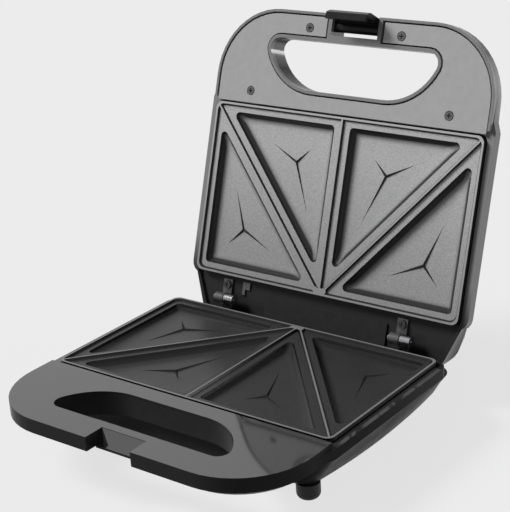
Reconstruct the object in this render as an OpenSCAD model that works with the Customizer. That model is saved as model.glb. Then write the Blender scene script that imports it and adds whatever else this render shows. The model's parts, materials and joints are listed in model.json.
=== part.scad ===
// Two-slice sandwich toaster: a base and a hinged lid that clamp two four-triangle plates together.
// The lid parts are written as they lie when the toaster is closed, then turned open about the hinge.
// Closed frame: X across, -Y towards the handle, Z = 0 on the plane where the halves meet, Y = 0 at
// the rear edge of the plates.

/* [Plates] */
// Width of a plate
plate_w = 222; // [180:1:260]
// Depth of a plate
plate_d = 126; // [105:1:150]
// Corner radius of a plate
plate_r = 5; // [3:0.5:8]
// Sheet thickness of a plate
plate_t = 2; // [1.5:0.1:2.5]
// Depth of a sandwich pocket below the plate's land
pocket_depth = 4.5; // [4:0.25:7]
// Flat land between a pocket and the lines that part the pockets
pocket_land = 6.4; // [6:0.2:9]
// Width of a pocket's sloping wall
pocket_slope = 5.4; // [4:0.2:7]
// Corner radius of a pocket
pocket_r = 3; // [2:0.5:5]
// Height of the rim and of the sealing ribs above the land
rib_h = 1.6; // [0.8:0.1:2]
// Width of a sealing rib at its foot
rib_w = 3; // [2.4:0.1:4]
// Height of the skirt round a plate
skirt_h = 6; // [5:0.5:7]

/* [Casing] */
// How far the side bands stand out beyond the plates
side_reach = 6; // [5:0.5:8]
// Height of the side band round a plate
band_h = 6.8; // [5:0.2:8]
// Height of the base casing below the plane where the halves meet
base_depth = 34; // [33:1:42]
// Height of the lid casing above that plane
lid_depth = 34.5; // [33:1:42]
// Wall of the plastic casings
wall = 2.4; // [2:0.1:3]
// How much narrower each side of a casing is at its flat end than at its band
side_taper = 15.5; // [10:0.5:18]
// How far the sides of the base bulge out between its corners
side_bow = 4; // [2:0.5:6]
// How far the lid's heel reaches behind the plates
heel_reach = 30; // [28:0.5:34]
// Height of the feet under the casing
foot_h = 11; // [8:0.5:14]
// Diameter of a foot
foot_d = 15.2; // [12:0.2:18]

/* [Handle] */
// How far the base handle reaches in front of the plates
handle_reach = 72; // [68:0.5:80]
// How much shorter the lid handle is than the base handle
lid_setback = 1.5; // [0.5:0.1:3]
// Radius of the handle's outer corners
handle_r = 50.5; // [46:0.5:54]
// Thickness of one handle half
handle_t = 17; // [15:0.5:19]
// Half width of the flat rear edge of the finger opening
grip_flat = 30; // [24:0.5:36]
// Radius of the finger opening's rear corners
grip_r = 42.5; // [40:0.5:44]
// Depth of the finger opening, front to rear
grip_d = 36.4; // [30:0.2:38]
// Width of the notch for the latch
notch_w = 35.8; // [30:0.2:40]

/* [Hinge] */
// Distance from the plates' rear edge to the hinge axis
hinge_y = 17.1; // [15:0.1:19]
// Distance of the hinge axis below the meeting plane
hinge_drop = 1.7; // [1:0.1:3]
// Opening angle of the lid
open_angle = 108.1; // [95:0.1:115]
// Place of the left hinge across the toaster
hinge_left_x = -78.8; // [-88:0.1:-72]
// Place of the right hinge across the toaster
hinge_right_x = 71.9; // [64:0.1:88]
// Diameter of the hinge and latch pins
pin_d = 3; // [2.5:0.1:4]
// Outer diameter of a hinge knuckle
knuckle_d = 8; // [7:0.1:9]

/* [Latch] */
// Distance of the latch's pivot behind the front of the base handle
latch_setback = 9.9; // [9:0.1:12]
// Height of the latch's pivot above the meeting plane
latch_z = 7; // [6:0.1:9]
// Swing of the latch from hooked to its open rest
latch_swing = 12; // [10:0.5:16]

/* [Fits] */
// Clearance round a pin that is fixed in its hole
fixed_gap = 0.02; // [0.01:0.01:0.05]
// Clearance round a pin that turns in its hole
turn_gap = 0.08; // [0.04:0.01:0.1]
// Clearance between pieces of one half that are fitted together
part_gap = 0.3; // [0.2:0.05:0.5]
// Gap between the closed halves
meet_gap = 0.5; // [0.4:0.1:1]

/* [Heating] */
// Diameter of a heating element
heater_d = 6.4; // [5:0.2:8]
// Distance between the two runs of a heating element
heater_span = 54; // [46:1:60]
// Depth of the gap between an element's clamp bars and the reflector's floor
reflector_gap = 4; // [3:0.5:5]
// Radius of the hole for the mains cord
cord_r = 3.5; // [3:0.1:4.2]

/* [Hidden] */
$fn = 48;

black = [0.05, 0.05, 0.055];
coated = [0.16, 0.16, 0.165];
steel = [0.78, 0.78, 0.8];

// heights, all measured down from the meeting plane in the base and up from it in the lid
half_gap = meet_gap / 2;
land_z = half_gap + rib_h;
ledge_z = 3.2;
band_z = ledge_z + band_h;
lip_z = half_gap + skirt_h + 0.1;
lip_t = 2.3;
floor_z = land_z + pocket_depth + plate_t;
heater_z = floor_z + heater_d / 2 + 0.1;
clamp_z = heater_z + heater_d / 2 + 0.1;
clamp_t = 1.2;
tray_z = clamp_z + clamp_t + reflector_gap;
tray_t = 0.8;
tray_flange_z = max(floor_z + 0.5, lip_z + lip_t + 0.6);
flange_z = 6;
flange_t = 2;
// share of a rib's foot that each half of its top keeps
rib_top = 0.2;
// the marks in the pockets: how deep their foot is sunk in the floor, their half width at the middle,
// their height and how far those of the front pockets lie from the middle of their pocket
mark_sunk = 0.2;
mark_notch = 1.3;
mark_h = 1.4;
mark_shift = [-3, 1.5];
rim_z = 4;
shelf_z = 14;

// screws: their shank, the hole they bite in and the hole they pass through
screw_d = 2.4;
pilot_d = 2.6;
clear_d = 3.2;
wire_d = 2.4;
bezel_head_d = 6;

// plan
casing_w = plate_w + 2 * side_reach;
plate_gap = 0.8;
band_r = 8;
lip_w = 4;
casing_rear = 2.6;
front_y = -plate_d - handle_reach;
panel_rear_y = -plate_d - 2;
handle_side = casing_w / 2 - 3;
handle_cx = handle_side - handle_r;
handle_cy = front_y + handle_r;
grip_front_y = front_y + 21;
grip_cy = grip_front_y + grip_d - grip_r;
grip_corner_r = 8;
grip_corner_y = grip_front_y + grip_corner_r;
grip_corner_x = grip_flat + sqrt(pow(grip_r - grip_corner_r, 2) - pow(grip_corner_y - grip_cy, 2));
grip_turn = atan2(grip_corner_y - grip_cy, grip_corner_x - grip_flat);
body_front_y = front_y + 62;
ground_z = -(base_depth + foot_h);

// hinge: the open lid leans its heel on the base's rear wall
hinge_z = -hinge_drop;
stop_gap = 0.5;
heel_dy = heel_reach - hinge_y;
heel_dz = rim_z - hinge_z;
base_rear = hinge_y + heel_dy * cos(open_angle) + heel_dz * sin(open_angle) - stop_gap;
leaf_w = 16.6;
leaf_t = 1.3;
knuckle_gap = 0.8;
tab_w = 8;
lid_screw_y = 7.5;
base_screw_y = 8;
base_screw_dx = 4.5;
pin_head_d = 5.2;
pin_head_t = 0.9;
leaf_y = casing_rear + 0.8;
hinge_xs = [hinge_left_x, hinge_right_x];

// latch
latch_y = front_y + latch_setback;
catch_y = front_y + 8;
catch_z = 11;
hook_h = 2.6;
arm_t = 4.4;
window_w = 38;
ear_t = 3;
window_rear_y = grip_front_y - wall - 1.9;

// where the halves are screwed together
mid_y = -plate_d / 2;
boss_xs = [-plate_w / 4, 0, plate_w / 4];
tray_hw = plate_w / 2 - 13;
tray_front_y = -plate_d + 10;
tray_rear_y = -12;
pad_d = 5.4;
// how far a pocket's underside lies inside the plate's edge at the lip
pocket_inset = pocket_land - plate_t + pocket_slope * (lip_z - land_z - plate_t) / pocket_depth;
tray_screw_x = plate_w / 2 - pocket_inset + pad_d / 2 + part_gap;
tray_screw_ys = [-plate_d + 20, -20];
bezel_screws = [[37.7, front_y + 12.9], [handle_side - 31.7, front_y + 61.8]];
handle_screw = [handle_side - 22, front_y + 44];
rear_screw = [60, -3.6];
foot_spots = [[casing_w / 2 - 25, -plate_d + 2], [casing_w / 2 - 48, 3]];
notch_room = 12;
cover_xs = [-47.5, 56];
cover_pins = [[cover_xs[0] + 6, 18], [cover_xs[1] - 6, 18]];
cover_pin_d = 2.4;
gland_x = 45;
gland_z = base_depth - 10;
clamp_y = base_rear - 12;
lamp_spots = [[-13, -plate_d + 12], [13, -plate_d + 12]];

// the whole part stands on Z = 0 with its origin under the middle of its outline
lid_tip_y = hinge_y + (front_y + lid_setback - hinge_y) * cos(open_angle)
    + (handle_t + hinge_drop - 1.5) * sin(open_angle);
centre_y = (front_y + lid_tip_y) / 2;

// ---------- outlines ----------

function arc(cx, cy, r, a0, a1, n) =
    [for (i = [0:n]) let (a = a0 + (a1 - a0) * i / n) [cx + r * cos(a), cy + r * sin(a)]];

// closes an outline from its right half, which runs from the rear to the front
function mirrored(half) =
    concat(half, [for (i = [len(half) - 1:-1:0]) [-half[i][0], half[i][1]]]);

// rectangle about x = 0 with its own front and rear corner radii
function block_outline(hw, front, rear, rf, rr, n = 6) = mirrored(concat(
    arc(hw - rr, rear - rr, rr, 90, 0, n),
    arc(hw - rf, front + rf, rf, 0, -90, n)));

// the same with sides that bulge out by bow
function bowed_outline(hw, front, rear, rf, rr, bow) = mirrored(concat(
    arc(hw - rr, rear - rr, rr, 90, 0, 6),
    [for (i = [1:7]) let (t = i / 8)
        [hw + 4 * bow * t * (1 - t), rear - rr + t * (front + rf - rear + rr)]],
    arc(hw - rf, front + rf, rf, 0, -90, 6)));

// outline of a handle from its rear edge to its front, drawn in by e
function handle_outline(e, rear, short = 0) = mirrored(concat(
    [[handle_side - e, rear]],
    arc(handle_cx, handle_cy + short, handle_r - e, 0, -90, 12)));

// outline of a half at its band: the band round the plate, its two ears and the handle
function frame_outline(rear, short = 0) = mirrored(concat(
    arc(casing_w / 2 - band_r, rear - band_r, band_r, 90, 0, 4),
    [[casing_w / 2, panel_rear_y - 1], [handle_side + 0.4, panel_rear_y - 8]],
    arc(handle_cx, handle_cy + short, handle_r, 0, -90, 12)));

// the D-shaped finger opening, grown by e
function grip_outline(e) = mirrored(concat(
    arc(grip_flat, grip_cy, grip_r + e, 90, grip_turn, 12),
    arc(grip_corner_x, grip_corner_y, grip_corner_r + e, grip_turn, -90, 6)));

function unit(v) = v / norm(v);
function angle_of(v) = atan2(v[1], v[0]);
function in_centre(t) = let (a = norm(t[1] - t[2]), b = norm(t[2] - t[0]), c = norm(t[0] - t[1]))
    (a * t[0] + b * t[1] + c * t[2]) / (a + b + c);
function in_radius(t) = abs((t[1][0] - t[0][0]) * (t[2][1] - t[0][1])
    - (t[2][0] - t[0][0]) * (t[1][1] - t[0][1]))
    / (norm(t[1] - t[0]) + norm(t[2] - t[1]) + norm(t[0] - t[2]));

// a counter-clockwise triangle drawn in by e, with round corners
function triangle_outline(t, e, r, n = 4) = let (
    c = in_centre(t),
    k = 1 - (e + r) / in_radius(t))
    [for (i = [0:2]) let (
        p = c + (t[i] - c) * k,
        before = angle_of(t[i] - t[(i + 2) % 3]) - 90,
        turn = (angle_of(t[(i + 1) % 3] - t[i]) - 90 - before + 720) % 360)
        for (q = arc(p[0], p[1], r, before, before + turn, n)) q];

// the four triangles that the ribs part a plate into
cells = let (w = plate_w / 2, d = plate_d) [
    [[0, 0], [-w, 0], [-w, -d]],
    [[0, 0], [-w, -d], [0, -d]],
    [[0, 0], [0, -d], [w, -d]],
    [[0, 0], [w, -d], [w, 0]]];

// the mark of each cell: its middle and the share of the way to each corner that its arms reach
marks = let (
    outer = in_centre(cells[0]),
    front = in_centre(cells[1]) + mark_shift)
    [[outer, [0.41, 0.43, 0.38]],
    [front, [0.46, 0.35, 0.34]],
    [[-front[0], front[1]], [0.46, 0.34, 0.35]],
    [[-outer[0], outer[1]], [0.41, 0.38, 0.43]]];

// a pocket's wall from its floor to the land: [share of the slope's width, share of the depth]
wall_steps = [[1.3, 1], [0.8, 0.94], [0.4, 0.75], [0.12, 0.45], [0, 0]];

// ---------- shared shapes ----------

// solid through rings of equal length, each [outline, height], listed from low to high
module loft(rings) {
    n = len(rings[0][0]);
    points = [for (r = rings) for (p = r[0]) [p[0], p[1], r[1]]];
    last = (len(rings) - 1) * n;
    turn = signed_area(rings[0][0]) > 0 ? 1 : -1;
    side = [for (k = [0:len(rings) - 2]) for (i = [0:n - 1])
        let (a = k * n + i, b = k * n + (i + 1) % n, f = [a, a + n, b + n, b])
        turn > 0 ? f : [f[3], f[2], f[1], f[0]]];
    low = [for (i = [0:n - 1]) turn > 0 ? i : n - 1 - i];
    high = [for (i = [0:n - 1]) last + (turn > 0 ? n - 1 - i : i)];
    polyhedron(points, concat([low, high], side));
}

function signed_area(p) = let (n = len(p))
    [for (i = [0:n - 1]) p[i][0] * p[(i + 1) % n][1] - p[(i + 1) % n][0] * p[i][1]]
    * [for (i = [0:n - 1]) 1] / 2;

module slab(outline, z0, z1) {
    translate([0, 0, z0]) linear_extrude(z1 - z0) polygon(outline);
}

module rod_x(d, x0, x1, y, z) {
    translate([x0, y, z]) rotate([0, 90, 0]) cylinder(d = d, h = x1 - x0);
}

module rod_y(d, y0, y1, x, z) {
    translate([x, y0, z]) rotate([-90, 0, 0]) cylinder(d = d, h = y1 - y0);
}

module rod_z(d, z0, z1, x, y) {
    translate([x, y, z0]) cylinder(d = d, h = z1 - z0);
}

// a shape that is drawn in the Y-Z plane and runs along X
module profile_x(points, x0, x1) {
    translate([x0, 0, 0]) rotate([90, 0, 90]) linear_extrude(x1 - x0) polygon(points);
}

module scale_x(s) {
    if (s < 0) mirror([1, 0, 0]) children();
    else children();
}

// pan-head screw whose head lies on z = 0 and whose shank points up
module screw(d, length, head_d, head_h) {
    difference() {
        union() {
            translate([0, 0, -head_h]) cylinder(d = head_d, h = head_h);
            translate([0, 0, -0.01]) cylinder(d = d, h = length + 0.01);
        }
        for (a = [0, 90]) rotate([0, 0, a])
            translate([-head_d * 0.3, -0.35, -head_h - 1]) cube([head_d * 0.6, 0.7, 1 + head_h * 0.6]);
    }
}

// round wire along runs that turn at right angles, each turn rounded
module wire(points, d) {
    bend = 1.8;
    last = len(points) - 1;
    for (i = [0:last - 1]) let (
        u = unit(points[i + 1] - points[i]),
        a = points[i] + (i > 0 ? bend : 0) * u,
        b = points[i + 1] - (i < last - 1 ? bend : 0) * u)
        translate(a) rotate([0, acos(u[2]), atan2(u[1], u[0])]) cylinder(d = d, h = norm(b - a));
    for (i = [1:last - 1]) let (
        u = unit(points[i] - points[i - 1]),
        v = unit(points[i + 1] - points[i]),
        c = points[i] + bend * (v - u),
        w = cross(u, v))
        multmatrix([[-v[0], u[0], w[0], c[0]], [-v[1], u[1], w[1], c[1]], [-v[2], u[2], w[2], c[2]]])
            rotate_extrude(angle = 90) translate([bend, 0]) circle(d = d);
}

// places: the base hangs below the meeting plane, the lid above it and turned open
module base_place() {
    translate([0, -centre_y, -ground_z]) children();
}

module lid_place() {
    base_place() translate([0, hinge_y, hinge_z]) rotate([-open_angle, 0, 0])
        translate([0, -hinge_y, -hinge_z]) children();
}

// turns a piece that is written downwards, as in the base, up into the lid
module flipped() {
    mirror([0, 0, 1]) children();
}

// ---------- heating, the same in both halves, written as in the base ----------

plate_outline = block_outline(plate_w / 2, -plate_d, 0, plate_r, plate_r);

function inner_plate(e) = block_outline(plate_w / 2 - e, -plate_d + e, -e, plate_r, plate_r);

// a sealing rib along X that is narrower at its top
module rib(length) {
    profile_x([[-rib_w / 2, -land_z - 0.5], [rib_w / 2, -land_z - 0.5], [rib_w / 2, -land_z],
        [rib_w * rib_top, -half_gap], [-rib_w * rib_top, -half_gap], [-rib_w / 2, -land_z]], 0, length);
}

module ribs() {
    intersection() {
        union() {
            for (turn = [0, -1, 1]) rotate([0, 0, turn * (90 - atan2(plate_d, plate_w / 2)) - 90])
                rib(norm([plate_w, plate_d]));
            for (s = [-1, 0, 1]) rod_z(4.4, -land_z - 0.5, -half_gap, s * 3.4, -3.4);
        }
        slab(inner_plate(0.8), -land_z - 2, 2);
    }
}

// the raised three-armed mark in the floor of a pocket, with its middle at c
module pocket_mark(t, c, reach) {
    low = -land_z - pocket_depth - mark_sunk;
    arms = [for (i = [0:2]) c + reach[i] * (t[i] - c)];
    notches = [for (i = [0:2]) c - mark_notch * unit(t[(i + 2) % 3] - c)];
    star = [for (i = [0:2]) for (p = [arms[i], notches[i]]) [p[0], p[1], low]];
    polyhedron(concat(star, [[c[0], c[1], low + mark_h]]),
        concat([[0, 1, 2, 3, 4, 5]], [for (i = [0:5]) [(i + 1) % 6, i, 6]]));
}

module plate() {
    difference() {
        union() {
            slab(plate_outline, -land_z - plate_t, -land_z);
            difference() {
                slab(plate_outline, -lip_z + 0.1, -half_gap);
                slab(inner_plate(1.8), -lip_z - 1, -land_z - 0.5);
                loft([[inner_plate(2.6), -land_z - 0.6], [inner_plate(2.6), -land_z], [inner_plate(1.3), 0]]);
            }
            ribs();
            for (t = cells) loft([
                [triangle_outline(t, pocket_land - plate_t + pocket_slope, pocket_r), -floor_z],
                [triangle_outline(t, pocket_land - plate_t, pocket_r), -land_z - plate_t + 0.01]]);
            for (x = boss_xs) rod_z(8, -floor_z + 0.2, -land_z - 0.5, x, mid_y);
        }
        for (i = [0:3]) difference() {
            loft([for (k = wall_steps)
                [triangle_outline(cells[i], pocket_land + k[0] * pocket_slope, pocket_r),
                    -land_z + 0.01 - k[1] * (pocket_depth + 0.01)]]);
            pocket_mark(cells[i], marks[i][0], marks[i][1]);
        }
        for (x = boss_xs) rod_z(3.4, -floor_z, -land_z - plate_t, x, mid_y);
    }
}

module heater() {
    bend_x = boss_xs[2] + 4;
    end_x = -tray_hw + 14;
    for (s = [-1, 1]) {
        rod_x(heater_d, end_x, bend_x, mid_y + s * heater_span / 2, -heater_z);
        rod_x(2.6, -tray_hw - 4.5, end_x, mid_y + s * heater_span / 2, -heater_z);
    }
    translate([bend_x, mid_y, -heater_z]) rotate([0, 0, -90])
        rotate_extrude(angle = 180) translate([heater_span / 2, 0]) circle(d = heater_d);
}

module heater_clamps() {
    for (x = boss_xs) difference() {
        translate([x - 6, mid_y - heater_span / 2 - 6, -clamp_z - clamp_t])
            cube([12, heater_span + 12, clamp_t]);
        rod_z(4.4, -clamp_z - 3, -clamp_z + 1, x, mid_y);
    }
}

module reflector() {
    top = -tray_flange_z;
    floor_top = -tray_z;
    tray = block_outline(tray_hw, tray_front_y, tray_rear_y, 8, 8);
    inner = block_outline(tray_hw - tray_t, tray_front_y + tray_t, tray_rear_y - tray_t, 7.2, 7.2);
    difference() {
        union() {
            slab(tray, floor_top - tray_t, top);
            slab(block_outline(tray_hw + 3, tray_front_y - 3, tray_rear_y + 3, 10, 10), top - tray_t, top);
            for (s = [-1, 1]) for (y = tray_screw_ys) hull() {
                rod_z(8, top - tray_t, top, s * tray_screw_x, y);
                rod_z(8, top - tray_t, top, s * (tray_hw - 2), y);
            }
        }
        slab(inner, floor_top, 1);
        for (s = [-1, 1]) for (y = tray_screw_ys) rod_z(3.4, top - 2, top + 1, s * tray_screw_x, y);
        for (s = [-1, 1])
            rod_x(6, -tray_hw - 4, -tray_hw + 4, mid_y + s * heater_span / 2, -heater_z);
        for (x = boss_xs) rod_z(4.4, floor_top - 2, floor_top + 1, x, mid_y);
    }
    for (x = boss_xs) difference() {
        rod_z(11, floor_top - 0.01, -clamp_z - clamp_t - 0.1, x, mid_y);
        rod_z(4.4, floor_top - 1, 0, x, mid_y);
    }
}

module plate_screws() {
    head = -tray_z - tray_t - 0.05;
    for (x = boss_xs) translate([x, mid_y, head]) screw(3.2, -land_z - plate_t - 0.4 - head, 7, 2);
}

module reflector_screws() {
    for (s = [-1, 1]) for (y = tray_screw_ys)
        translate([s * tray_screw_x, y, -tray_flange_z - tray_t - 0.05])
            screw(screw_d, tray_flange_z + tray_t - lip_z - 0.65, 4.6, 1.5);
}

// the inner lip that carries a plate, with the pads that the reflector is screwed to
module plate_lip() {
    difference() {
        union() {
            difference() {
                slab(inner_plate(-plate_gap - 0.6), -lip_z - lip_t, -lip_z);
                slab(inner_plate(lip_w), -lip_z - lip_t - 1, 0);
            }
            for (s = [-1, 1]) for (y = tray_screw_ys)
                rod_z(pad_d, -tray_flange_z + 0.05, -lip_z, s * tray_screw_x, y);
        }
        for (s = [-1, 1]) for (y = tray_screw_ys)
            rod_z(pilot_d, -tray_flange_z - 1, -lip_z - 0.5, s * tray_screw_x, y);
    }
}

// ---------- base ----------

// half width of a casing at a height z from the meeting plane
function side_at(z, depth) =
    casing_w / 2 - 1.2 - side_taper * (z - band_z) / (depth - 3 - band_z);

// the tub of the base, drawn in by e: a deep box with a shelf behind the plate
module base_tub(e, top) {
    low_z = base_depth - 3;
    loft([
        [bowed_outline(side_at(low_z, base_depth) - 2.2 - e, body_front_y + 5 + e, base_rear - 3 - e,
            12, 11, side_bow), -base_depth + e],
        [bowed_outline(side_at(low_z, base_depth) + 0.6 - e, body_front_y + 2 + e, base_rear - e,
            12, 11, side_bow), -low_z + e / 2],
        [bowed_outline(side_at(shelf_z + 7, base_depth) - e, body_front_y + 0.6 + e, base_rear - e,
            12, 14, side_bow * 0.8), -shelf_z - 7],
        [bowed_outline(side_at(shelf_z, base_depth) - e, body_front_y + e, base_rear - e, 12, 14, 1),
            -shelf_z - e]]);
    loft([
        [bowed_outline(side_at(shelf_z, base_depth) - e - 3, body_front_y + e, casing_rear - e, 12, 6, 1),
            -shelf_z - e - 4],
        [bowed_outline(side_at(shelf_z, base_depth) - e, body_front_y + e, casing_rear - e, 12, 6, 1),
            -shelf_z],
        [bowed_outline(side_at(band_z, base_depth) - e, body_front_y + e, casing_rear - e, 12, 6, 0),
            top]]);
}

module base_shell() {
    seam = -band_z - 0.1;
    grip_top = -half_gap - wall - 0.1;
    color(black) base_place() difference() {
        union() {
            difference() {
                union() {
                    base_tub(0, seam);
                    loft([
                        [handle_outline(12, panel_rear_y - 2), -handle_t],
                        [handle_outline(8, panel_rear_y - 2), -handle_t + 1.5],
                        [handle_outline(4.6, panel_rear_y - 2), -handle_t + 4],
                        [handle_outline(1.2, panel_rear_y - 2), seam]]);
                }
                base_tub(wall, -band_z + 1);
                difference() {
                    loft([
                        [handle_outline(14, body_front_y), -handle_t + wall],
                        [handle_outline(8, body_front_y), -handle_t + wall + 3],
                        [handle_outline(5, body_front_y), 1]]);
                    notch_cheeks(notch_room, -handle_t, 2, 20);
                }
            }
            slab(grip_outline(wall), -handle_t, grip_top);
            for (s = [-1, 1]) {
                rod_z(8.2, -base_depth + wall - 0.5, -tray_flange_z + 0.05, s * rear_screw[0], rear_screw[1]);
                rod_z(6, -base_depth + wall - 0.5, gland_post_top(), gland_x + s * 9, clamp_y);
            }
            for (x = hinge_xs) for (s = [-1, 1])
                rod_z(6.4, -shelf_z - 7, -shelf_z - 1, x + s * base_screw_dx, base_screw_y);
        }
        slab(grip_outline(0), -base_depth, 1);
        notch_cut(notch_room, -base_depth, front_y + 17);
        for (s = [-1, 1]) {
            rod_z(clear_d, -base_depth, 1, s * handle_screw[0], handle_screw[1]);
            rod_z(6.4, -handle_t - 1, -handle_t + 1.2, s * handle_screw[0], handle_screw[1]);
            rod_z(clear_d, -base_depth, 1, s * rear_screw[0], rear_screw[1]);
            rod_z(6.4, -base_depth - 1, -tray_flange_z - 3, s * rear_screw[0], rear_screw[1]);
            rod_z(pilot_d, gland_post_top() - 8, 1, gland_x + s * 9, clamp_y);
        }
        for (x = hinge_xs) for (s = [-1, 1])
            rod_z(pilot_d, -shelf_z - 6, 1, x + s * base_screw_dx, base_screw_y);
        for (s = [-1, 1]) for (f = foot_spots)
            rod_z(6, -base_depth - 1, -base_depth + wall + 1, s * f[0], f[1]);
        rod_y(gland_d() + 0.2, base_rear - 5, base_rear + 5, gland_x, -gland_z);
    }
}

function gland_d() = 2 * cord_r + 3;
function gland_post_top() = -gland_z + cord_r + 0.3;

// the two walls that line the latch's notch
module notch_cheeks(room, z0, z1, length) {
    for (s = [-1, 1]) scale_x(s)
        translate([notch_w / 2 + room, front_y, z0]) cube([wall, length, z1 - z0]);
}

// the notch itself, wider on each side by room
module notch_cut(room, z0, rear) {
    translate([-notch_w / 2 - room, front_y - 1, z0])
        cube([notch_w + 2 * room, rear - front_y + 1, 1 - z0]);
}

module base_frame() {
    skin = -half_gap - wall;
    color(black) base_place() difference() {
        union() {
            difference() {
                union() {
                    slab(frame_outline(casing_rear), -band_z, -ledge_z);
                    slab(handle_outline(0, panel_rear_y), -band_z, -half_gap);
                }
                difference() {
                    slab(handle_outline(wall, panel_rear_y - 1.5), -band_z - 1, skin);
                    notch_cheeks(0, -band_z - 2, 1, grip_front_y - wall - 0.4 - front_y);
                    notch_cheeks(notch_room, -band_z - 2, 1, 18.5);
                    translate([-notch_w / 2 - notch_room - wall, front_y, -band_z - 2])
                        cube([notch_w + 2 * (notch_room + wall), 18.5, 2 + wall]);
                }
                slab(inner_plate(-plate_gap), -band_z - 1, 1);
                notch_cut(0, -band_z - 1, front_y + 15);
            }
            plate_lip();
            profile_x([[grip_front_y - wall - 0.4, -half_gap - 0.3], [front_y + 14.8, -half_gap - 0.3],
                [catch_y, -catch_z + 1.7], [catch_y, -catch_z], [grip_front_y - wall - 0.4, -catch_z]],
                -notch_w / 2, notch_w / 2);
            for (s = [-1, 1]) {
                rod_z(7.4, -handle_t + wall + 0.1, skin + 0.5, s * handle_screw[0], handle_screw[1]);
                rod_z(6.4, -tray_flange_z + 0.15, -lip_z, s * rear_screw[0], rear_screw[1]);
            }
        }
        slab(grip_outline(0), -band_z - 1, 1);
        for (s = [-1, 1]) {
            rod_z(pilot_d, -handle_t, skin - 1, s * handle_screw[0], handle_screw[1]);
            rod_z(pilot_d, -tray_flange_z - 1, -lip_z - 1, s * rear_screw[0], rear_screw[1]);
        }
    }
}

module lower_plate() {
    color(coated) base_place() plate();
}

module lower_heater() {
    color(steel) base_place() heater();
}

module lower_heater_clamps() {
    color(steel) base_place() heater_clamps();
}

module lower_reflector() {
    color(steel) base_place() reflector();
}

module lower_plate_screws() {
    color(steel) base_place() plate_screws();
}

module lower_reflector_screws() {
    color(steel) base_place() reflector_screws();
}

module base_screws() {
    color(steel) base_place() for (s = [-1, 1]) {
        translate([s * handle_screw[0], handle_screw[1], -handle_t + 1.15]) screw(screw_d, 9, 5.6, 1.6);
        translate([s * rear_screw[0], rear_screw[1], -tray_flange_z - 3.05])
            screw(screw_d, tray_flange_z - lip_z + 1.6, 5.6, 1.6);
    }
}

module rubber_feet() {
    r = foot_d / 2;
    h = foot_h - 0.05;
    stem_r = 2.9;
    profile = concat([[0, 0]], arc(r - 4, 4, 4, -90, 0, 8),
        [[r, h], [stem_r, h], [stem_r, h + wall], [0, h + wall]]);
    color([0.07, 0.07, 0.07]) base_place() for (s = [-1, 1]) for (f = foot_spots)
        translate([s * f[0], f[1], ground_z]) rotate_extrude() polygon(profile);
}

module cord_gland() {
    color(black) base_place() difference() {
        union() {
            rod_y(gland_d(), base_rear - 7, base_rear + 1, gland_x, -gland_z);
            rod_y(gland_d() + 2, base_rear + 0.05, base_rear + 1.6, gland_x, -gland_z);
            rod_y(gland_d() + 1, base_rear - wall - 1.6, base_rear - wall - 0.1, gland_x, -gland_z);
        }
        rod_y(2 * cord_r, base_rear - 8, base_rear + 3, gland_x, -gland_z);
    }
}

module cord_clamp() {
    color(black) base_place() difference() {
        translate([gland_x - 13, clamp_y - 3.5, gland_post_top() + 0.1]) cube([26, 7, 2]);
        for (s = [-1, 1])
            rod_z(clear_d, gland_post_top() - 1, gland_post_top() + 4, gland_x + s * 9, clamp_y);
    }
}

module cord_clamp_screws() {
    color(steel) base_place() for (s = [-1, 1])
        translate([gland_x + s * 9, clamp_y, gland_post_top() + 2.15]) flipped() screw(screw_d, 9, 5, 1);
}

terminal_x = -8;
module terminal_block() {
    color([0.9, 0.9, 0.87]) base_place() difference() {
        translate([terminal_x, 1, -base_depth + wall + 0.05]) cube([34, 11, 11]);
        for (i = [0:2]) {
            rod_y(3.4, 0, 14, terminal_x + 6 + 11 * i, -base_depth + wall + 5);
            rod_z(3.4, -base_depth + wall + 5, -base_depth + wall + 13, terminal_x + 6 + 11 * i, 6.5);
        }
    }
}

// the two leads of an element, each from its start along the tray's side to an end of the element
module element_leads(near_start, far_start) {
    near = mid_y + heater_span / 2;
    far = mid_y - heater_span / 2;
    near_x = -tray_hw - 2.7;
    far_x = -tray_hw - 1.9;
    near_z = -heater_z - 3.4;
    far_z = near_z - 2.8;
    pin_z = -heater_z - 1.45;
    near_y = near_start[len(near_start) - 1][1];
    far_y = far_start[len(far_start) - 1][1];
    wire(concat(near_start, [[near_x, near_y, near_z], [near_x, near, near_z], [near_x, near, pin_z]]),
        wire_d);
    wire(concat(far_start, [[far_x, far_y, far_z], [far_x, far, far_z], [far_x, far, pin_z]]),
        wire_d);
}

module base_wiring() {
    x = terminal_x + 6;
    z = -base_depth + wall + 5;
    near_z = -heater_z - 3.4;
    color([0.8, 0.25, 0.15]) base_place() element_leads([
        [x, 0.7, z], [x, -3, z], [-36, -3, z], [-36, 6.5, z], [-tray_hw + 6, 6.5, z],
        [-tray_hw + 6, -3, z], [-tray_hw + 6, -3, near_z]], [
        [x + 11, 0.7, z], [x + 11, -6.6, z], [-41, -6.6, z], [-41, 3, z], [-tray_hw + 10, 3, z],
        [-tray_hw + 10, -6.6, z], [-tray_hw + 10, -6.6, near_z - 2.8]]);
}

// hinge leaf of the base: a foot on the shelf, a web and one knuckle
module base_leaf(x) {
    k = knuckle_d / 2;
    foot_z = -shelf_z + 0.05;
    color(steel) base_place() difference() {
        union() {
            rod_x(knuckle_d, x + knuckle_gap / 2, x + leaf_w / 2, hinge_y, hinge_z);
            translate([x + knuckle_gap / 2, hinge_y - k, foot_z])
                cube([(leaf_w - knuckle_gap) / 2, leaf_t, hinge_z - foot_z]);
            translate([x - leaf_w / 2, leaf_y, foot_z]) cube([leaf_w, hinge_y - k - leaf_y + leaf_t, leaf_t]);
        }
        rod_x(pin_d + 2 * fixed_gap, x - leaf_w, x + leaf_w, hinge_y, hinge_z);
        for (s = [-1, 1]) rod_z(clear_d, foot_z - 1, foot_z + 3, x + s * base_screw_dx, base_screw_y);
    }
}

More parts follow.
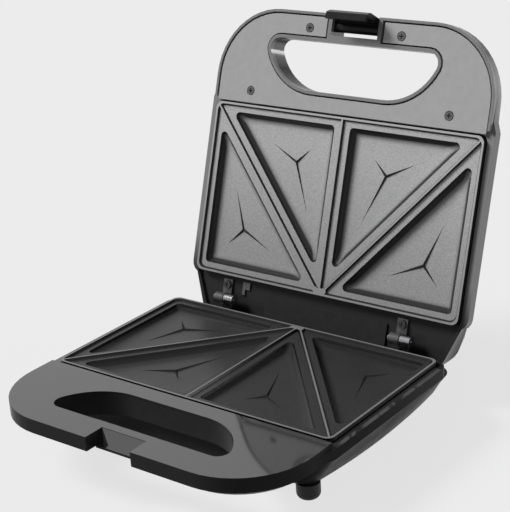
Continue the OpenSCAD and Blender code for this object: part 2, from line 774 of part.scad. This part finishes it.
module base_hinge_left() {
    base_leaf(hinge_left_x);
}

module base_hinge_right() {
    base_leaf(hinge_right_x);
}

module base_hinge_screws() {
    color(steel) base_place() for (x = hinge_xs) for (s = [-1, 1])
        translate([x + s * base_screw_dx, base_screw_y, -shelf_z + leaf_t + 0.1])
            flipped() screw(screw_d, 6, 5, 1.5);
}

// pin with a head that keeps the lid's knuckle on it
module hinge_pin(x) {
    head_x = x - leaf_w / 2 - part_gap;
    color(steel) base_place() {
        rod_x(pin_d, head_x - 0.5, x + leaf_w / 2 + 0.3, hinge_y, hinge_z);
        rod_x(pin_head_d, head_x - pin_head_t, head_x, hinge_y, hinge_z);
    }
}

module hinge_pin_left() {
    hinge_pin(hinge_left_x);
}

module hinge_pin_right() {
    hinge_pin(hinge_right_x);
}

// ---------- lid ----------

heel_hw = casing_w / 2 - 3;

// corners of the lid's heel, straight sides that run in at the rim and round corners further in:
// [distance of the corner's middle from the side, radius, lean of the side, where the side starts to run in]
rim_heel = [18, 8, 22, -1];
mid_heel = [22, 18, 10, -12];
round_heel = [26, 26, 0, -12];

// outline of the lid's box with such heel corners
function lid_outline(hw, front, rear, rf, heel) = mirrored(concat(
    arc(hw - heel[0], rear - heel[1], heel[1], 90, heel[2], 6),
    [[hw, heel[3]]],
    arc(hw - rf, front + rf, rf, 0, -90, 6)));

// rings of the lid's deep shell, drawn in by e:
// [height, half width, front, rear, share of e in height, heel corners]
function lid_rings(e) = [for (k = [
        [rim_z, heel_hw, 2, 0, 0, rim_heel],
        [band_z, heel_hw, 2, 0, 0, rim_heel],
        [band_z + 4, side_at(band_z + 4, lid_depth), 2, 0, 0, mid_heel],
        [band_z + 10, side_at(band_z + 10, lid_depth), 2.4, 1.5, 0.2, round_heel],
        [lid_depth - 8, side_at(lid_depth - 8, lid_depth), 3, 5.5, 0.6, round_heel],
        [lid_depth - 3.5, side_at(lid_depth - 3.5, lid_depth) - 0.5, 4, 12.5, 0.8, mid_heel],
        [lid_depth, side_at(lid_depth - 3, lid_depth) - 5.5, 9, 21, 1, mid_heel]])
    [lid_outline(k[1] - e, body_front_y + k[2] + e, heel_reach - k[3] - e, 12, k[5]),
        k[0] - k[4] * e]];

module lid_hollow() {
    rings = lid_rings(wall);
    loft(concat([[rings[1][0], flange_z + flange_t]], [for (i = [2:len(rings) - 1]) rings[i]]));
}

module lid_shell() {
    short = lid_setback;
    e = -0.6;
    top = handle_t;
    color(black) lid_place() difference() {
        union() {
            difference() {
                union() {
                    slab(frame_outline(casing_rear + 0.3, short), ledge_z, band_z);
                    loft(lid_rings(0));
                    loft([
                        [handle_outline(0, panel_rear_y, short), half_gap],
                        [handle_outline(0, panel_rear_y, short), band_z],
                        [handle_outline(0.8, panel_rear_y, short), top - 5],
                        [handle_outline(2.6, panel_rear_y, short), top - 2],
                        [handle_outline(6.5, panel_rear_y, short), top]]);
                }
                lid_hollow();
                difference() {
                    slab(handle_outline(2, panel_rear_y - 1.5, short), -1, top - wall - 2);
                    translate([-window_w / 2 - ear_t, front_y, -2]) cube([window_w + 2 * ear_t, 20, 40]);
                    translate([-casing_w, body_front_y + 1.9, 3]) cube([2 * casing_w, 40, 40]);
                }
                slab(inner_plate(-plate_gap), -1, flange_z + flange_t + 0.1);
                slab(lid_outline(heel_hw - 2.4, -20, heel_reach - 2.4, 4, rim_heel), -1, flange_z);
                translate([-casing_w, panel_rear_y - 1.6, -1]) cube([2 * casing_w, 5, 4]);
            }
            flipped() plate_lip();
            slab(grip_outline(e + wall), half_gap, top);
            for (s = [-1, 1]) for (b = bezel_screws) rod_z(7, 3.05, top - wall, s * b[0], b[1]);
            for (x = hinge_xs) rod_z(7, flange_z + 1, flange_z + 7.4, x - leaf_w / 4, lid_screw_y);
        }
        slab(grip_outline(e), -1, lid_depth);
        translate([-window_w / 2, front_y - 5, -1])
            cube([window_w, window_rear_y - front_y + 5, 40]);
        rod_x(pin_d + 2 * fixed_gap, -window_w, window_w, latch_y, latch_z);
        for (s = [-1, 1]) for (b = bezel_screws) rod_z(pilot_d, 1, top - wall - 2, s * b[0], b[1]);
        for (x = hinge_xs) rod_z(pilot_d, flange_z - 1, flange_z + 6.9, x - leaf_w / 4, lid_screw_y);
        for (p = cover_pins) rod_z(cover_pin_d + 2 * fixed_gap, flange_z - 1, flange_z + 3, p[0], p[1]);
        for (p = lamp_spots) rod_z(8.4, lid_depth - 5, lid_depth + 2, p[0], p[1]);
    }
}

module lid_bezel() {
    z0 = half_gap + 0.65;
    color([0.3, 0.3, 0.31]) lid_place() difference() {
        slab(handle_outline(3, panel_rear_y + 0.6, lid_setback), z0, z0 + 2);
        slab(grip_outline(2.8), z0 - 1, z0 + 3);
        translate([-window_w / 2 - ear_t - 1.6, front_y, z0 - 1])
            cube([window_w + 2 * ear_t + 3.2, grip_front_y - front_y, 4]);
        for (s = [-1, 1]) for (b = bezel_screws) {
            rod_z(clear_d, z0 - 1, z0 + 3, s * b[0], b[1]);
            rod_z(bezel_head_d + 0.8, z0 - 1, z0 + 1, s * b[0], b[1]);
        }
    }
}

module lid_bezel_screws() {
    color(steel) lid_place() for (s = [-1, 1]) for (b = bezel_screws)
        translate([s * b[0], b[1], half_gap + 1.6]) screw(screw_d, 9, bezel_head_d, 1.2);
}

module upper_plate() {
    color(coated) lid_place() flipped() plate();
}

module upper_heater() {
    color(steel) lid_place() flipped() heater();
}

module upper_heater_clamps() {
    color(steel) lid_place() flipped() heater_clamps();
}

module upper_reflector() {
    color(steel) lid_place() flipped() reflector();
}

module upper_plate_screws() {
    color(steel) lid_place() flipped() plate_screws();
}

module upper_reflector_screws() {
    color(steel) lid_place() flipped() reflector_screws();
}

module thermostat() {
    x = -plate_w / 8;
    color([0.75, 0.72, 0.65]) lid_place() {
        rod_z(14.6, floor_z + 0.1, floor_z + 5, x, mid_y);
        rod_z(10, floor_z + 4.9, floor_z + 8.5, x, mid_y);
    }
}

module thermal_fuse() {
    color([0.85, 0.8, 0.6]) lid_place()
        rod_x(4, plate_w / 8 - 8, plate_w / 8 + 8, mid_y, floor_z + 2.1);
}

module lamp_lens(spot) {
    base_z = lid_depth - wall - 0.4;
    lid_place() {
        rod_z(8, base_z, lid_depth + 0.4, spot[0], spot[1]);
        translate([spot[0], spot[1], lid_depth + 0.35])
            rotate_extrude() polygon(concat([[0, 0]], arc(3, 0, 1, 0, 90, 6), [[0, 1]]));
    }
}

module power_lamp_lens() {
    color([0.8, 0.05, 0.04]) lamp_lens(lamp_spots[0]);
}

module ready_lamp_lens() {
    color([0.1, 0.65, 0.15]) lamp_lens(lamp_spots[1]);
}

module neon_lamps() {
    color([0.95, 0.7, 0.5]) lid_place() for (p = lamp_spots)
        rod_y(4.6, p[1] - 6, p[1] + 6, p[0], lid_depth - wall - 0.6 - 2.3);
}

// hinge leaf of the lid: a tab under the heel's flange, a web behind the pin and one knuckle
module lid_leaf(x) {
    k = knuckle_d / 2;
    tab_top = flange_z - 0.05;
    color(steel) lid_place() difference() {
        union() {
            rod_x(knuckle_d, x - leaf_w / 2, x - knuckle_gap / 2, hinge_y, hinge_z);
            translate([x - leaf_w / 2, hinge_y + k - leaf_t, hinge_z])
                cube([(leaf_w - knuckle_gap) / 2, leaf_t, tab_top - hinge_z]);
            translate([x - leaf_w / 4 - tab_w / 2, leaf_y, tab_top - leaf_t])
                cube([tab_w, hinge_y + k - leaf_y, leaf_t]);
        }
        rod_x(pin_d + 2 * turn_gap, x - leaf_w, x + leaf_w, hinge_y, hinge_z);
        rod_z(clear_d, tab_top - 3, tab_top + 1, x - leaf_w / 4, lid_screw_y);
    }
}

module lid_hinge_left() {
    lid_leaf(hinge_left_x);
}

module lid_hinge_right() {
    lid_leaf(hinge_right_x);
}

module lid_hinge_screws() {
    color(steel) lid_place() for (x = hinge_xs)
        translate([x - leaf_w / 4, lid_screw_y, flange_z - 0.1 - leaf_t]) screw(screw_d, 7, 6.2, 1.4);
}

// cover over the leads in the heel, held by two pins
module wire_cover() {
    color(black) lid_place() {
        translate([cover_xs[0], 9.6, flange_z - 1.25]) cube([cover_xs[1] - cover_xs[0], 16, 1.2]);
        for (p = cover_pins) rod_z(cover_pin_d, flange_z - 0.5, flange_z + flange_t - 0.2, p[0], p[1]);
    }
}

// small tab that earths the upper plate
module plate_earth_tab() {
    color(steel) lid_place() translate([-69.5, 3.2, flange_z - 1.05]) {
        cube([6.4, 5.4, 1]);
        cube([2.4, 9.6, 1]);
    }
}

module lid_wiring() {
    near_z = -heater_z - 3.4;
    color([0.8, 0.25, 0.15]) lid_place() flipped() element_leads([
        [-30, 14, -flange_z - flange_t - 2], [-30, 14, near_z], [-30, 1.8, near_z]], [
        [-24, 14, -flange_z - flange_t - 2], [-24, 14, near_z - 2.8], [-24, -1.6, near_z - 2.8]]);
}

module latch_pin() {
    color(steel) lid_place()
        rod_x(pin_d, -window_w / 2 - ear_t, window_w / 2 + ear_t, latch_y, latch_z);
}

// the latch hangs on its pin in the lid's window and hooks under the catch in the base's notch
module latch() {
    out = catch_y - 0.5 - arm_t;
    in = catch_y - 0.5;
    hw = window_w / 2 - 0.6;
    hook_hw = notch_w / 2 - 1.3;
    hook_top = -catch_z - 0.4;
    color(black) lid_place() translate([0, latch_y, latch_z]) rotate([-latch_swing, 0, 0])
        translate([0, -latch_y, -latch_z]) difference() {
            union() {
                rod_x(8, -hw, hw, latch_y, latch_z);
                profile_x([[in, 1.2], [in, 3.6], [latch_y, 3.2], [latch_y, 10.8], [in, 10.4], [in, 11.5],
                    [in - 1.6, 17.4], [out - 2.6, 16.6], [out, 11.5], [out, 1.2]], -hw, hw);
                profile_x([[in, 1.3], [out, 1.3], [out, hook_top + 1.5], [out + 2.6, hook_top - hook_h],
                    [catch_y + 2.3, hook_top - hook_h], [catch_y + 2.3, hook_top], [in, hook_top]],
                    -hook_hw, hook_hw);
            }
            rod_x(pin_d + 2 * turn_gap, -hw - 1, hw + 1, latch_y, latch_z);
        }
}

base_shell();
base_frame();
lower_plate();
lower_heater();
lower_heater_clamps();
lower_reflector();
lower_plate_screws();
lower_reflector_screws();
base_screws();
rubber_feet();
cord_gland();
cord_clamp();
cord_clamp_screws();
terminal_block();
base_wiring();
base_hinge_left();
base_hinge_right();
base_hinge_screws();
hinge_pin_left();
hinge_pin_right();
lid_shell();
lid_bezel();
lid_bezel_screws();
upper_plate();
upper_heater();
upper_heater_clamps();
upper_reflector();
upper_plate_screws();
upper_reflector_screws();
thermostat();
thermal_fuse();
power_lamp_lens();
ready_lamp_lens();
neon_lamps();
lid_hinge_left();
lid_hinge_right();
lid_hinge_screws();
wire_cover();
plate_earth_tab();
lid_wiring();
latch_pin();
latch();
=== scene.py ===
import json
import math

import bpy
from mathutils import Matrix, Vector

MM = 0.001
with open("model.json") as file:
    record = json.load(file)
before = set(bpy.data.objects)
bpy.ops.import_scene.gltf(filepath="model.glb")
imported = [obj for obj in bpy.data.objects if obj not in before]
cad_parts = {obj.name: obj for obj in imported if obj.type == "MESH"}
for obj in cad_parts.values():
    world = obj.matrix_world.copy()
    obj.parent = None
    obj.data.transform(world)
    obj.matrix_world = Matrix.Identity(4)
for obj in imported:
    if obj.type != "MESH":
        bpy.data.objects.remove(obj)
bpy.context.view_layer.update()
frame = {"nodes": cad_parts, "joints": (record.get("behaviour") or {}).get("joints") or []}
nodes = frame["nodes"]
scene = bpy.context.scene

# ---------- camera ----------
# CAMERA_AT is in mm in the frame of the closed part: the plates' rear edge at y 0, the meeting
# plane at z 0. The part is stored with its origin under the middle of its outline; CENTRE_Y and
# GROUND take a point of the closed frame to it.
CENTRE_Y = -49.095
GROUND = 45.0
CAMERA_AT = (539.28, -729.09, 399.49)
AZ, EL, ROLL = math.radians(38.24), math.radians(20.87), math.radians(-3.69)
LENS, SENSOR = 100.0, 36.0
CLIP_NEAR, CLIP_FAR = 0.05, 50

back = Vector((math.sin(AZ) * math.cos(EL), -math.cos(AZ) * math.cos(EL), math.sin(EL)))
right = Vector((math.cos(AZ), math.sin(AZ), 0))
up = back.cross(right)
cam_x = right * math.cos(ROLL) + up * math.sin(ROLL)
cam_y = up * math.cos(ROLL) - right * math.sin(ROLL)
cam_data = bpy.data.cameras.new("camera")
cam_data.lens = LENS
cam_data.sensor_width = SENSOR
cam_data.clip_start = CLIP_NEAR
cam_data.clip_end = CLIP_FAR
camera = bpy.data.objects.new("camera", cam_data)
scene.collection.objects.link(camera)
place = Matrix((cam_x, cam_y, back)).transposed().to_4x4()
place.translation = Vector((CAMERA_AT[0], CAMERA_AT[1] - CENTRE_Y, CAMERA_AT[2] + GROUND)) * MM
camera.matrix_world = place
scene.camera = camera

# ---------- materials ----------
NOISE_LOW, NOISE_HIGH = 0.3, 0.7  # the noise's usual span
MOTTLE_DETAIL, BUMP_DETAIL = 4, 2
BEVEL_SAMPLES = 6


def map_range(t, value, from_lo, from_hi, to_lo, to_hi):
    """A map range node's output; each limit may be a number or another node's output."""
    r = t.nodes.new("ShaderNodeMapRange")
    limits = {"From Min": from_lo, "From Max": from_hi, "To Min": to_lo, "To Max": to_hi}
    for name, v in limits.items():
        if isinstance(v, bpy.types.NodeSocket):
            t.links.new(v, r.inputs[name])
        else:
            r.inputs[name].default_value = v
    t.links.new(value, r.inputs["Value"])
    return r.outputs["Result"]


def noise(t, coords, size, detail):
    """A noise's output, with its size in mm."""
    n = t.nodes.new("ShaderNodeTexNoise")
    n.inputs["Scale"].default_value = 1 / (size * MM)
    n.inputs["Detail"].default_value = detail
    t.links.new(coords, n.inputs["Vector"])
    return n.outputs["Fac"]


def material(name, colour, rough, metal=0.0, bump=None, mottle=None, edge=0.0, ior=1.5):
    """Principled material: bump is (size in mm, strength, depth in mm), mottle is (size in mm,
    colour spread, roughness spread), edge is the radius in mm of the rounding that the shader
    gives edges."""
    m = bpy.data.materials.new(name)
    m.use_nodes = True
    t = m.node_tree
    p = t.nodes["Principled BSDF"]
    p.inputs["Base Color"].default_value = (*colour, 1)
    p.inputs["Roughness"].default_value = rough
    p.inputs["Metallic"].default_value = metal
    p.inputs["IOR"].default_value = ior
    coords = t.nodes.new("ShaderNodeTexCoord").outputs["Object"]
    normal = None
    if edge:
        bevel = t.nodes.new("ShaderNodeBevel")
        bevel.samples = BEVEL_SAMPLES
        bevel.inputs["Radius"].default_value = edge * MM
        normal = bevel.outputs["Normal"]
    if mottle:
        size, spread, rough_spread = mottle
        value = noise(t, coords, size, MOTTLE_DETAIL)
        v = t.nodes.new("ShaderNodeVectorMath")
        v.operation = "SCALE"
        v.inputs[0].default_value = colour
        level = map_range(t, value, NOISE_LOW, NOISE_HIGH, 1 - spread, 1 + spread)
        t.links.new(level, v.inputs["Scale"])
        t.links.new(v.outputs["Vector"], p.inputs["Base Color"])
        rougher = map_range(t, value, NOISE_LOW, NOISE_HIGH, rough - rough_spread, rough + rough_spread)
        t.links.new(rougher, p.inputs["Roughness"])
    if bump:
        size, strength, depth = bump
        b = t.nodes.new("ShaderNodeBump")
        b.inputs["Strength"].default_value = strength
        b.inputs["Distance"].default_value = depth * MM
        t.links.new(noise(t, coords, size, BUMP_DETAIL), b.inputs["Height"])
        if normal:
            t.links.new(normal, b.inputs["Normal"])
        normal = b.outputs["Normal"]
    if normal:
        t.links.new(normal, p.inputs["Normal"])
    return m


# The meeting plane of each half in mm, as (a point on it over the hinge, the direction into that
# half, the direction away from the hinge). The lid's joint turns it from open, at rest, to closed.
LID_JOINT = next(j for j in frame["joints"] if j["name"] == "lid_hinge")
HINGE = Vector(LID_JOINT["pos_m"]) / MM
OPEN = math.radians(LID_JOINT["range_deg"][1])
INTO_LID = Vector((0, math.sin(OPEN), math.cos(OPEN)))
LID_FORWARD = Vector((0, -math.cos(OPEN), math.sin(OPEN)))
HINGE_DROP = GROUND - HINGE.z
LID_PLANE = (HINGE + HINGE_DROP * INTO_LID, INTO_LID, LID_FORWARD)
BASE_PLANE = (HINGE + Vector((0, 0, HINGE_DROP)), Vector((0, 0, -1)), Vector((0, -1, 0)))


def along(t, kind, direction):
    """The texture coordinate of that kind, measured along a direction."""
    dot = t.nodes.new("ShaderNodeVectorMath")
    dot.operation = "DOT_PRODUCT"
    dot.inputs[1].default_value = direction
    t.links.new(t.nodes.new("ShaderNodeTexCoord").outputs[kind], dot.inputs[0])
    return dot.outputs["Value"]


def near_plane(m, plane, colour, depth, blur, fade=None):
    """Gives a material another colour on the faces that lie within depth of a meeting plane; fade
    is the stretch forward of the hinge over which that colour comes in. All in mm."""
    t = m.node_tree
    p = t.nodes["Principled BSDF"]
    point, inward, forward = plane
    edge = point.dot(inward) + depth
    share = map_range(t, along(t, "Object", inward), (edge - blur) * MM, edge * MM, 1, 0)
    if fade:
        start, end = [(point.dot(forward) + f) * MM for f in fade]
        share = map_range(t, along(t, "Object", forward), start, end, 0, share)
    mix = t.nodes.new("ShaderNodeMix")
    mix.data_type = "RGBA"
    mix.inputs["B"].default_value = (*colour, 1)
    old = p.inputs["Base Color"].links[0].from_socket
    t.links.new(share, mix.inputs["Factor"])
    t.links.new(old, mix.inputs["A"])
    t.links.new(mix.outputs["Result"], p.inputs["Base Color"])
    return m


def scale_colour(m, level):
    """Multiplies a material's colour by a value."""
    t = m.node_tree
    p = t.nodes["Principled BSDF"]
    scale = t.nodes.new("ShaderNodeVectorMath")
    scale.operation = "SCALE"
    t.links.new(p.inputs["Base Color"].links[0].from_socket, scale.inputs[0])
    t.links.new(level, scale.inputs["Scale"])
    t.links.new(scale.outputs["Vector"], p.inputs["Base Color"])


def polished(m, direction, lo, hi, weight, rough, ior, both=False):
    """Gives a material a clear gloss on the faces that look along a direction, or against it too:
    lo and hi are the cosines between which it comes in."""
    t = m.node_tree
    p = t.nodes["Principled BSDF"]
    p.inputs["Coat Roughness"].default_value = rough
    p.inputs["Coat IOR"].default_value = ior
    facing = along(t, "Normal", direction)
    if both:
        size = t.nodes.new("ShaderNodeMath")
        size.operation = "ABSOLUTE"
        t.links.new(facing, size.inputs[0])
        facing = size.outputs["Value"]
    t.links.new(map_range(t, facing, lo, hi, 0, weight), p.inputs["Coat Weight"])
    return m


# The plates: how far below the meeting plane the painted highlight on their tops reaches and how soft
# that limit is in mm, their blue tint, the cosines between which a pocket's wall turns into a flat
# face, the level of the painted shade on a wall, and the stretch forward of the hinge in mm over which the
# painted shade by the hinge fades out.
HIGHLIGHT_DEPTH, HIGHLIGHT_BLUR = 0.7, 0.2
BLUE_TINT = 1.01
STEEP, FLAT, WALL_SHADE_LEVEL = 0.925, 0.999, 0.08
HINGE_SHADE_OVER = (17, 120)


def plate_coating(name, level, rough, ior, plane, top_highlight, hinge_shade):
    """Non-stick coating of a colour level, with a painted highlight of the given level on the rim and the
    ribs' tops, painted shade on the pockets' walls, and painted shade towards the hinge that leaves its
    edge there the given share as light."""
    m = material(name, (level, level, level * BLUE_TINT), rough, bump=(0.5, 0.3, 0.1),
                 mottle=(0.9, 0.2, 0.05), edge=0.2, ior=ior)
    # Painted highlight: the rim and the ribs' tops take a lighter colour.
    near_plane(m, plane, (top_highlight, top_highlight, top_highlight), depth=HIGHLIGHT_DEPTH, blur=HIGHLIGHT_BLUR)
    t = m.node_tree
    point, inward, forward = plane
    # Painted shade: the pockets' steep walls are darkened.
    scale_colour(m, map_range(t, along(t, "Normal", -inward), STEEP, FLAT, WALL_SHADE_LEVEL, 1))
    # Painted shade: the plate grows darker towards its edge by the hinge, over the stretch given above.
    rear, middle = [(point.dot(forward) + f) * MM for f in HINGE_SHADE_OVER]
    scale_colour(m, map_range(t, along(t, "Object", forward), rear, middle, hinge_shade, 1))
    return m


UPWARD, SIDEWAYS = (0, 0, 1), (1, 0, 0)
GREY = (0.36, 0.36, 0.365)
RIM_GREY = (0.22, 0.22, 0.225)
SCREW_FACE_GREY = (0.13, 0.13, 0.13)
M = {
    "gloss": polished(
        material("gloss_black", (0.022, 0.022, 0.023), 0.25, mottle=(9, 0.0, 0.03), edge=0.4, ior=1.1),
        UPWARD, lo=0.35, hi=0.6, weight=1.0, rough=0.05, ior=1.9),
    "casing": material("black_casing", (0.027, 0.027, 0.028), 0.34, bump=(0.5, 0.08, 0.1),
                       mottle=(6, 0.08, 0.04), edge=0.8, ior=1.08),
    "lid": polished(
        near_plane(
            material("lid_casing", (0.022, 0.022, 0.023), 0.24, mottle=(6, 0.04, 0.04), edge=0.5, ior=1.2),
            LID_PLANE, RIM_GREY, depth=3.4, blur=0.01, fade=(15, 45)),
        SIDEWAYS, lo=0.75, hi=0.95, weight=1.0, rough=0.12, ior=1.9, both=True),
    "latch": material("latch_black", (0.018, 0.018, 0.019), 0.22, mottle=(6, 0.06, 0.04), edge=0.5,
                      ior=1.2),
    "bezel": material("grey_bezel", GREY, 0.36, bump=(0.35, 0.12, 0.08), mottle=(5, 0.04, 0.04),
                      edge=0.3),
    "upper": plate_coating("upper_coating", level=0.42, rough=0.42, ior=1.25, plane=LID_PLANE,
                           top_highlight=0.42, hinge_shade=0.62),
    # Both plates carry the same coating: the lower plate's far darker level is painted shade, a shaded
    # copy of the upper's.
    "lower": plate_coating("shaded_lower_coating", level=0.022, rough=0.3, ior=1.35, plane=BASE_PLANE,
                           top_highlight=0.16, hinge_shade=1),
    "steel": material("hinge_steel", (0.3, 0.3, 0.31), 0.3, metal=1.0, bump=(0.3, 0.1, 0.05),
                      mottle=(2, 0.06, 0.06), edge=0.3),
    "bracket": material("bracket_steel", (0.1, 0.1, 0.1), 0.38, metal=0.5, bump=(0.3, 0.1, 0.05),
                        mottle=(2, 0.1, 0.06), edge=0.2),
    "screw": material("screw_steel", (0.035, 0.035, 0.035), 0.34, metal=0.3, mottle=(1.5, 0.1, 0.06),
                      edge=0.2),
    # The screws' heads are lighter on their faces than in their cross recesses and on their sides.
    "bezel_screw": near_plane(
        material("blackened_screw", (0.006, 0.006, 0.006), 0.4, mottle=(1.5, 0.1, 0.06), edge=0.1,
                 ior=1.2),
        LID_PLANE, SCREW_FACE_GREY, depth=0.8, blur=0.02),
    "element": material("element_steel", (0.3, 0.29, 0.27), 0.45, metal=1.0, mottle=(3, 0.15, 0.08)),
    "tray": material("reflector_steel", (0.7, 0.7, 0.7), 0.35, metal=1.0, mottle=(5, 0.05, 0.06)),
    "rubber": material("black_rubber", (0.018, 0.018, 0.018), 0.5, bump=(0.6, 0.2, 0.1),
                       mottle=(2, 0.15, 0.06), ior=1.35),
    "lead": material("lead_insulation", (0.55, 0.1, 0.05), 0.45, mottle=(3, 0.08, 0.05)),
    "white": material("white_block", (0.75, 0.75, 0.7), 0.4, mottle=(3, 0.04, 0.05)),
    "ceramic": material("ceramic", (0.6, 0.55, 0.42), 0.6, mottle=(1.5, 0.06, 0.06)),
    "red": material("red_lens", (0.6, 0.02, 0.012), 0.1, mottle=(3, 0.05, 0.03)),
    "green": material("green_lens", (0.05, 0.45, 0.08), 0.1, mottle=(3, 0.05, 0.03)),
    "lamp": material("lamp_glass", (0.8, 0.6, 0.45), 0.08, mottle=(3, 0.05, 0.03)),
}
# Nodes not named here are screws where their name says so, and steel otherwise.
LOOK = {
    "base_shell": "casing", "base_frame": "gloss", "lid_shell": "lid", "lid_bezel": "bezel",
    "wire_cover": "casing", "latch": "latch", "cord_gland": "casing", "cord_clamp": "casing",
    "lower_plate": "lower", "upper_plate": "upper", "rubber_feet": "rubber", "base_wiring": "lead",
    "lid_wiring": "lead", "terminal_block": "white", "thermostat": "ceramic",
    "lower_heater": "element", "upper_heater": "element", "lower_reflector": "tray",
    "upper_reflector": "tray", "plate_earth_tab": "bracket", "lid_hinge_left": "bracket",
    "lid_hinge_right": "bracket", "lid_bezel_screws": "bezel_screw", "power_lamp_lens": "red",
    "ready_lamp_lens": "green", "neon_lamps": "lamp",
}

# ---------- shading of the CAD meshes ----------
WELD_DISTANCE = 2e-6
SHARP_FROM = math.radians(26)


def smooth_group():
    """Geometry nodes: weld the imported mesh and shade it smooth except over sharp edges."""
    g = bpy.data.node_groups.new("smooth_by_angle", "GeometryNodeTree")
    g.interface.new_socket("Geometry", in_out="INPUT", socket_type="NodeSocketGeometry")
    g.interface.new_socket("Geometry", in_out="OUTPUT", socket_type="NodeSocketGeometry")
    a, z = g.nodes.new("NodeGroupInput"), g.nodes.new("NodeGroupOutput")
    drop = g.nodes.new("GeometryNodeRemoveAttribute")
    drop.inputs["Name"].default_value = "custom_normal"
    weld = g.nodes.new("GeometryNodeMergeByDistance")
    weld.inputs["Distance"].default_value = WELD_DISTANCE
    faces = g.nodes.new("GeometryNodeSetShadeSmooth")
    edges = g.nodes.new("GeometryNodeSetShadeSmooth")
    edges.domain = "EDGE"
    edges.inputs["Shade Smooth"].default_value = False
    angle = g.nodes.new("GeometryNodeInputMeshEdgeAngle")
    over = g.nodes.new("FunctionNodeCompare")
    over.operation = "GREATER_THAN"
    over.inputs[1].default_value = SHARP_FROM
    g.links.new(angle.outputs["Unsigned Angle"], over.inputs[0])
    g.links.new(over.outputs["Result"], edges.inputs["Selection"])
    chain = [a, drop, weld, faces, edges, z]
    for p, q in zip(chain, chain[1:]):
        g.links.new(p.outputs[0], q.inputs[0])
    return g


SMOOTH = smooth_group()
for name, obj in nodes.items():
    obj.data.materials.clear()
    obj.data.materials.append(M[LOOK.get(name, "screw" if "screws" in name else "steel")])
    obj.modifiers.new("smooth", "NODES").node_group = SMOOTH

# ---------- light, floor and background ----------
# PALE is the background as the camera and reflections see it; AMBIENT is the light it gives.
# FLOOR_GLOW is how much of the floor is that background, the rest being lit and shadowed in the
# colour FLOOR_LIT; FLOOR_GIVES is the share of the light that the floor gives back to the object.
PALE, AMBIENT, FLOOR_GLOW, FLOOR_LIT, FLOOR_GIVES = 0.83, 0.15, 0.88, 0.8, 0.35
FLOOR_ROUGH = 0.8
FLOOR_REACH = 6  # metres from the middle to each side


def pale_seen(tree):
    """1 for camera, glossy and transmission rays, 0 for the rest."""
    ray = tree.nodes.new("ShaderNodeLightPath")
    seen = ray.outputs["Is Camera Ray"]
    for kind in ("Is Glossy Ray", "Is Transmission Ray"):
        either = tree.nodes.new("ShaderNodeMath")
        either.operation = "MAXIMUM"
        tree.links.new(seen, either.inputs[0])
        tree.links.new(ray.outputs[kind], either.inputs[1])
        seen = either.outputs["Value"]
    return seen


def by_ray(tree, other, pale):
    """A number that is pale for the rays that see the background and other for the rest."""
    return map_range(tree, pale_seen(tree), 0, 1, other, pale)


def backdrop_material():
    """The floor's material: the background's glow over a lit surface that keeps the shadow."""
    m = bpy.data.materials.new("backdrop")
    m.use_nodes = True
    t = m.node_tree
    lit = t.nodes["Principled BSDF"]
    t.links.new(by_ray(t, FLOOR_GIVES, FLOOR_LIT), lit.inputs["Base Color"])
    lit.inputs["Roughness"].default_value = FLOOR_ROUGH
    glow = t.nodes.new("ShaderNodeEmission")
    glow.inputs["Color"].default_value = (PALE, PALE, PALE, 1)
    mix = t.nodes.new("ShaderNodeMixShader")
    t.links.new(by_ray(t, 0.0, FLOOR_GLOW), mix.inputs[0])
    t.links.new(lit.outputs[0], mix.inputs[1])
    t.links.new(glow.outputs[0], mix.inputs[2])
    t.links.new(mix.outputs[0], t.nodes["Material Output"].inputs["Surface"])
    return m


corners = [(x * FLOOR_REACH, y * FLOOR_REACH, 0) for x, y in ((-1, -1), (1, -1), (1, 1), (-1, 1))]
floor_mesh = bpy.data.meshes.new("floor")
floor_mesh.from_pydata(corners, [], [(0, 1, 2, 3)])
floor = bpy.data.objects.new("floor", floor_mesh)
scene.collection.objects.link(floor)
floor_mesh.materials.append(backdrop_material())

world = bpy.data.worlds.new("world")
scene.world = world
world.use_nodes = True
background = world.node_tree.nodes["Background"]
background.inputs["Color"].default_value = (1, 1, 1, 1)
world.node_tree.links.new(by_ray(world.node_tree, AMBIENT, PALE), background.inputs["Strength"])


def sun(name, towards, spread, strength, glints):
    """A sun that shines towards a direction, spread over an angle in degrees; glints says whether
    glossy surfaces mirror it."""
    d = bpy.data.lights.new(name, "SUN")
    d.angle = math.radians(spread)
    d.energy = strength
    o = bpy.data.objects.new(name, d)
    scene.collection.objects.link(o)
    o.rotation_euler = Vector(towards).to_track_quat("-Z", "Y").to_euler()
    o.visible_glossy = glints


KEY = (0.66, 0.32, -0.69)
FROM_RIGHT = (-0.668, -0.734, -0.1)
sun("key", KEY, spread=22, strength=3.9, glints=False)
sun("glint", KEY, spread=12, strength=0.3, glints=True)
sun("side", FROM_RIGHT, spread=40, strength=1.2, glints=True)

scene.view_settings.view_transform = "Standard"
bpy.context.view_layer.update()
